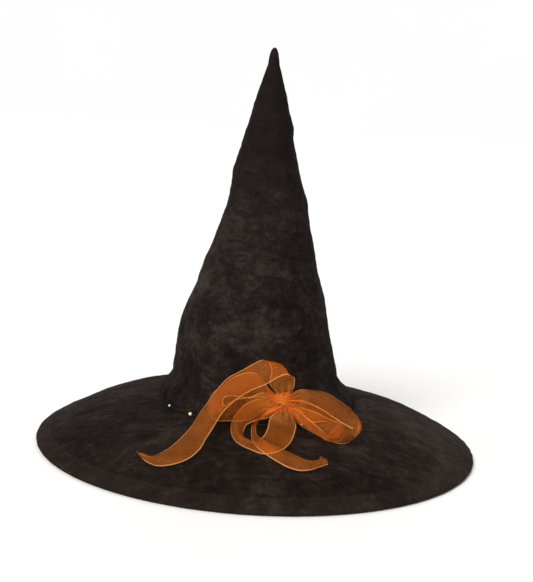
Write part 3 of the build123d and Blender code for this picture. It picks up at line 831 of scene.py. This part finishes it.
def ribbon(name, stations, nodes, seed, loose_end=False, ragged=False, gathered=20 * MM):
    """A length of organza through its stations, gathered into the knot at its start and, unless its end
    is loose, at its end. Returns the piece and its length."""
    stations = np.array([(*middle, *across) for middle, across in stations], float) * MM
    chords = np.linalg.norm(np.diff(stations[:, :3], axis=0), axis=1).sum()
    line, length = curve_through(stations, int(chords / RIBBON_STEP))
    middle, across = line[:, :3] + KNOT, line[:, 3:]
    along = np.linspace(0, length, len(line))
    tangent = unit(np.gradient(middle, axis=0))
    normal = unit(np.cross(tangent, unit(across)))
    width = np.linalg.norm(across, axis=1)
    slack = np.clip(RIBBON_W / np.maximum(width, 3 * MM) - 1, 0, 4.0)
    gather = smooth(1.25 - along / gathered)
    if loose_end:
        slack *= smooth((length - along) / (26 * MM))
    else:
        gather = np.maximum(gather, smooth(1.25 - (length - along) / gathered))
    away = unit(np.c_[middle[:, :2], np.full(len(middle), 0.1)])
    facing = np.clip((normal * away).sum(1) * 3, -1, 1)
    cup = np.sqrt(0.375 * np.minimum(slack, 2.0)) * width * (1 - gather) * facing * 0.8
    pleats = np.sqrt(0.375 * slack) * width / 3.0 * gather
    u, down = np.linspace(0, 1, RIBBON_COLUMNS), along[:, None]
    wavy = np.sin(2 * pi * (3.0 * u + 0.15 * np.sin(down * 90 + seed)))
    ripple = 0.35 * MM * np.sin(down * 160 + seed + 4 * u) * (0.3 + np.abs(2 * u - 1) ** 2)
    push = cup[:, None] * 4 * u * (1 - u) + pleats[:, None] * wavy + ripple * (1 - gather[:, None])
    points = middle[:, None] + across[:, None] * (u[:, None] - 0.5) + push[..., None] * normal[:, None]
    if ragged:
        fray = rng.uniform(-1.0, 1.0, RIBBON_COLUMNS) * MM + 1.6 * MM * np.sin(5 * u)
        last = smooth((along - length + 4 * MM) / (4 * MM))
        points += last[:, None, None] * fray[:, None] * tangent[:, None]
    uv = np.stack(np.meshgrid(u, along), -1).reshape(-1, 2)
    faces = grid_faces(len(line), RIBBON_COLUMNS)
    made = mesh_object(name, points.reshape(-1, 3), faces, uv, body=None)
    made.data.materials.append(ribbon_cloth)
    print("ribbon", name, "length", round(length / MM), "mm")
    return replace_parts(made, *nodes), length


left_ribbon, left_length = ribbon(
    "ribbon_top_loop_and_left_tail", LEFT_RIBBON, ["bow_loop_top", "bow_tail_left"], 1, loose_end=True)
left_loop, left_loop_length = ribbon("ribbon_left_loop", LEFT_LOOP, ["bow_loop_left"], 2)
lower_loop, lower_loop_length = ribbon("ribbon_lower_loop", LOWER_LOOP, ["bow_loop_lower"], 3)
right_ribbon, right_length = ribbon(
    "ribbon_right_tail", RIGHT_RIBBON, ["bow_tail_right"], 4,
    loose_end=True, ragged=True, gathered=46 * MM)
outer_loop, outer_length = ribbon(
    "ribbon_right_outer_loop", RIGHT_OUTER_LOOP, ["bow_loop_right_outer"], 5)
inner_loop, inner_length = ribbon(
    "ribbon_right_inner_loop", RIGHT_INNER_LOOP, ["bow_loop_right_inner"], 6)
for loop in (left_loop, lower_loop, outer_loop, inner_loop):
    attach(loop, "hat")

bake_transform(left_ribbon)
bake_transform(right_ribbon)


KNOT_HALF, KNOT_HIGH, KNOT_DEEP = 13.0 * MM, 8.6 * MM, 6.6 * MM  # half its width, height and depth


def knot():
    """The gathered middle of the bow: pleats that run sideways and pinch where the thread ties them."""
    columns, rows = 96, 56
    around = np.linspace(0, 2 * pi, columns, endpoint=False)
    x = np.linspace(-1, 1, rows)
    along = x[:, None]
    wind = around + 0.5 * along
    pleat = 1 + 0.13 * np.sin(wind * 8 + 1.2 * np.sin(along * 2.5))
    pleat += 0.07 * np.sin(wind * 15 + 3 * along)
    swell = pleat * (0.92 + 0.05 * np.abs(along) ** 1.4 - 0.60 * smooth((np.abs(along) - 0.4) / 0.6))
    side = KNOT_HALF * along
    out = 0.4 * MM * np.cos(3 * along) + KNOT_DEEP * swell * np.cos(around)
    up = 1.0 * MM * np.sin(2.2 * along) + KNOT_HIGH * swell * np.sin(around)
    points = KNOT + side[..., None] * KNOT_SIDE + out[..., None] * KNOT_OUT
    points[..., 2] += up
    uv = np.stack(np.meshgrid(0.2 + 0.6 * around / (2 * pi), x), -1).reshape(-1, 2)
    made = mesh_object("bow_knot_gathers", points.reshape(-1, 3), tube_faces(rows, columns), uv)
    made.data.materials.append(knot_cloth)
    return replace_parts(made, "bow_knot")


knot_piece = knot()
for node, finish in (
        ("bow_tie_thread", thread_cloth), ("bow_stitches", thread_cloth), ("bead_thread", thread_cloth),
        ("brim_wire", wire_steel), ("wire_ferrule", ferrule_brass)):
    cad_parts[node].data.materials.clear()
    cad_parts[node].data.materials.append(finish)


# ---------------------------------------------------------------- floor, light and camera

FLOOR_HALF, FLOOR_Z = 8, -0.0006
WALL_R, WALL_Z, WALL_SIDES = 7.6, (-0.01, 2.4), 48


def stage():
    """A pale floor, and a pale round wall that casts no shadow."""
    n = Nodes("pale_floor")
    cloud = n.noise(2.0, 2.0, 0.5)
    n.finish(n.ramp(cloud, [(0.3, (0.86, 0.86, 0.86)), (0.7, (0.90, 0.90, 0.90))]),
             n.level(cloud, 0.85, 0.95), n.bumped(cloud, 0.02, MM))
    signs = (-1, -1), (1, -1), (1, 1), (-1, 1)
    corners = [(FLOOR_HALF * x, FLOOR_HALF * y, FLOOR_Z) for x, y in signs]
    floor = mesh_object("floor", corners, [(0, 1, 2, 3)], body=None)
    floor.data.materials.append(n.material)
    wall = Nodes("pale_wall")
    haze = wall.noise(1.0, 2.0, 0.5)
    white = wall.ramp(haze, [(0.3, (0.99, 0.99, 0.99)), (0.7, (1, 1, 1))])
    glow = wall.add("ShaderNodeEmission", {"Color": white})
    wall.add("ShaderNodeOutputMaterial", {"Surface": glow.outputs[0]})
    turns = np.linspace(0, 2 * pi, WALL_SIDES, endpoint=False)
    points = [(WALL_R * np.cos(t), WALL_R * np.sin(t), z) for z in WALL_Z for t in turns]
    backdrop = mesh_object("backdrop", points, grid_faces(2, WALL_SIDES, wrap=True), body=None)
    backdrop.data.materials.append(wall.material)
    backdrop.visible_shadow = False
    world = bpy.data.worlds.new("studio")
    bpy.context.scene.world = world
    world.use_nodes = True
    world.node_tree.nodes["Background"].inputs["Color"].default_value = (1, 1, 1, 1)
    world.node_tree.nodes["Background"].inputs["Strength"].default_value = 0.30


def sun(name, towards, strength, angle, colour=(1, 1, 1)):
    """Soft even light that shines towards a direction."""
    light = bpy.data.lights.new(name, "SUN")
    light.energy, light.angle, light.color = strength, radians(angle), colour
    made = bpy.data.objects.new(name, light)
    made.rotation_euler = Vector(towards).to_track_quat("-Z", "Y").to_euler()
    bpy.context.scene.collection.objects.link(made)


CAMERA_AT, CAMERA_AIM = Vector((0, -1.1828, 0.3526)), Vector((0.0022, 0, 0.1488))
CAMERA_ROLL, CAMERA_LENS, CAMERA_SENSOR = radians(3.44), 77.83, 36


def camera():
    """The photo's camera, fitted to the brim, the seam and the tip."""
    data = bpy.data.cameras.new("camera")
    data.lens, data.sensor_width, data.sensor_height = CAMERA_LENS, CAMERA_SENSOR, CAMERA_SENSOR
    data.sensor_fit = "VERTICAL"
    made = bpy.data.objects.new("camera", data)
    made.location = CAMERA_AT
    turn = (CAMERA_AIM - CAMERA_AT).to_track_quat("-Z", "Y").to_matrix()
    made.rotation_euler = (turn @ Matrix.Rotation(CAMERA_ROLL, 3, "Z")).to_euler()
    bpy.context.scene.collection.objects.link(made)
    bpy.context.scene.camera = made


stage()
camera()
sun("key", (0.55, 1.1, -1.05), 3.4, 35, (1.0, 0.965, 0.93))
sun("fill", (-1.0, 1.0, -0.6), 0.12, 60, (0.97, 0.98, 1.0))
sun("back", (0.1, -1.0, -0.9), 0.7, 50)
bpy.context.scene.view_settings.view_transform = "Standard"
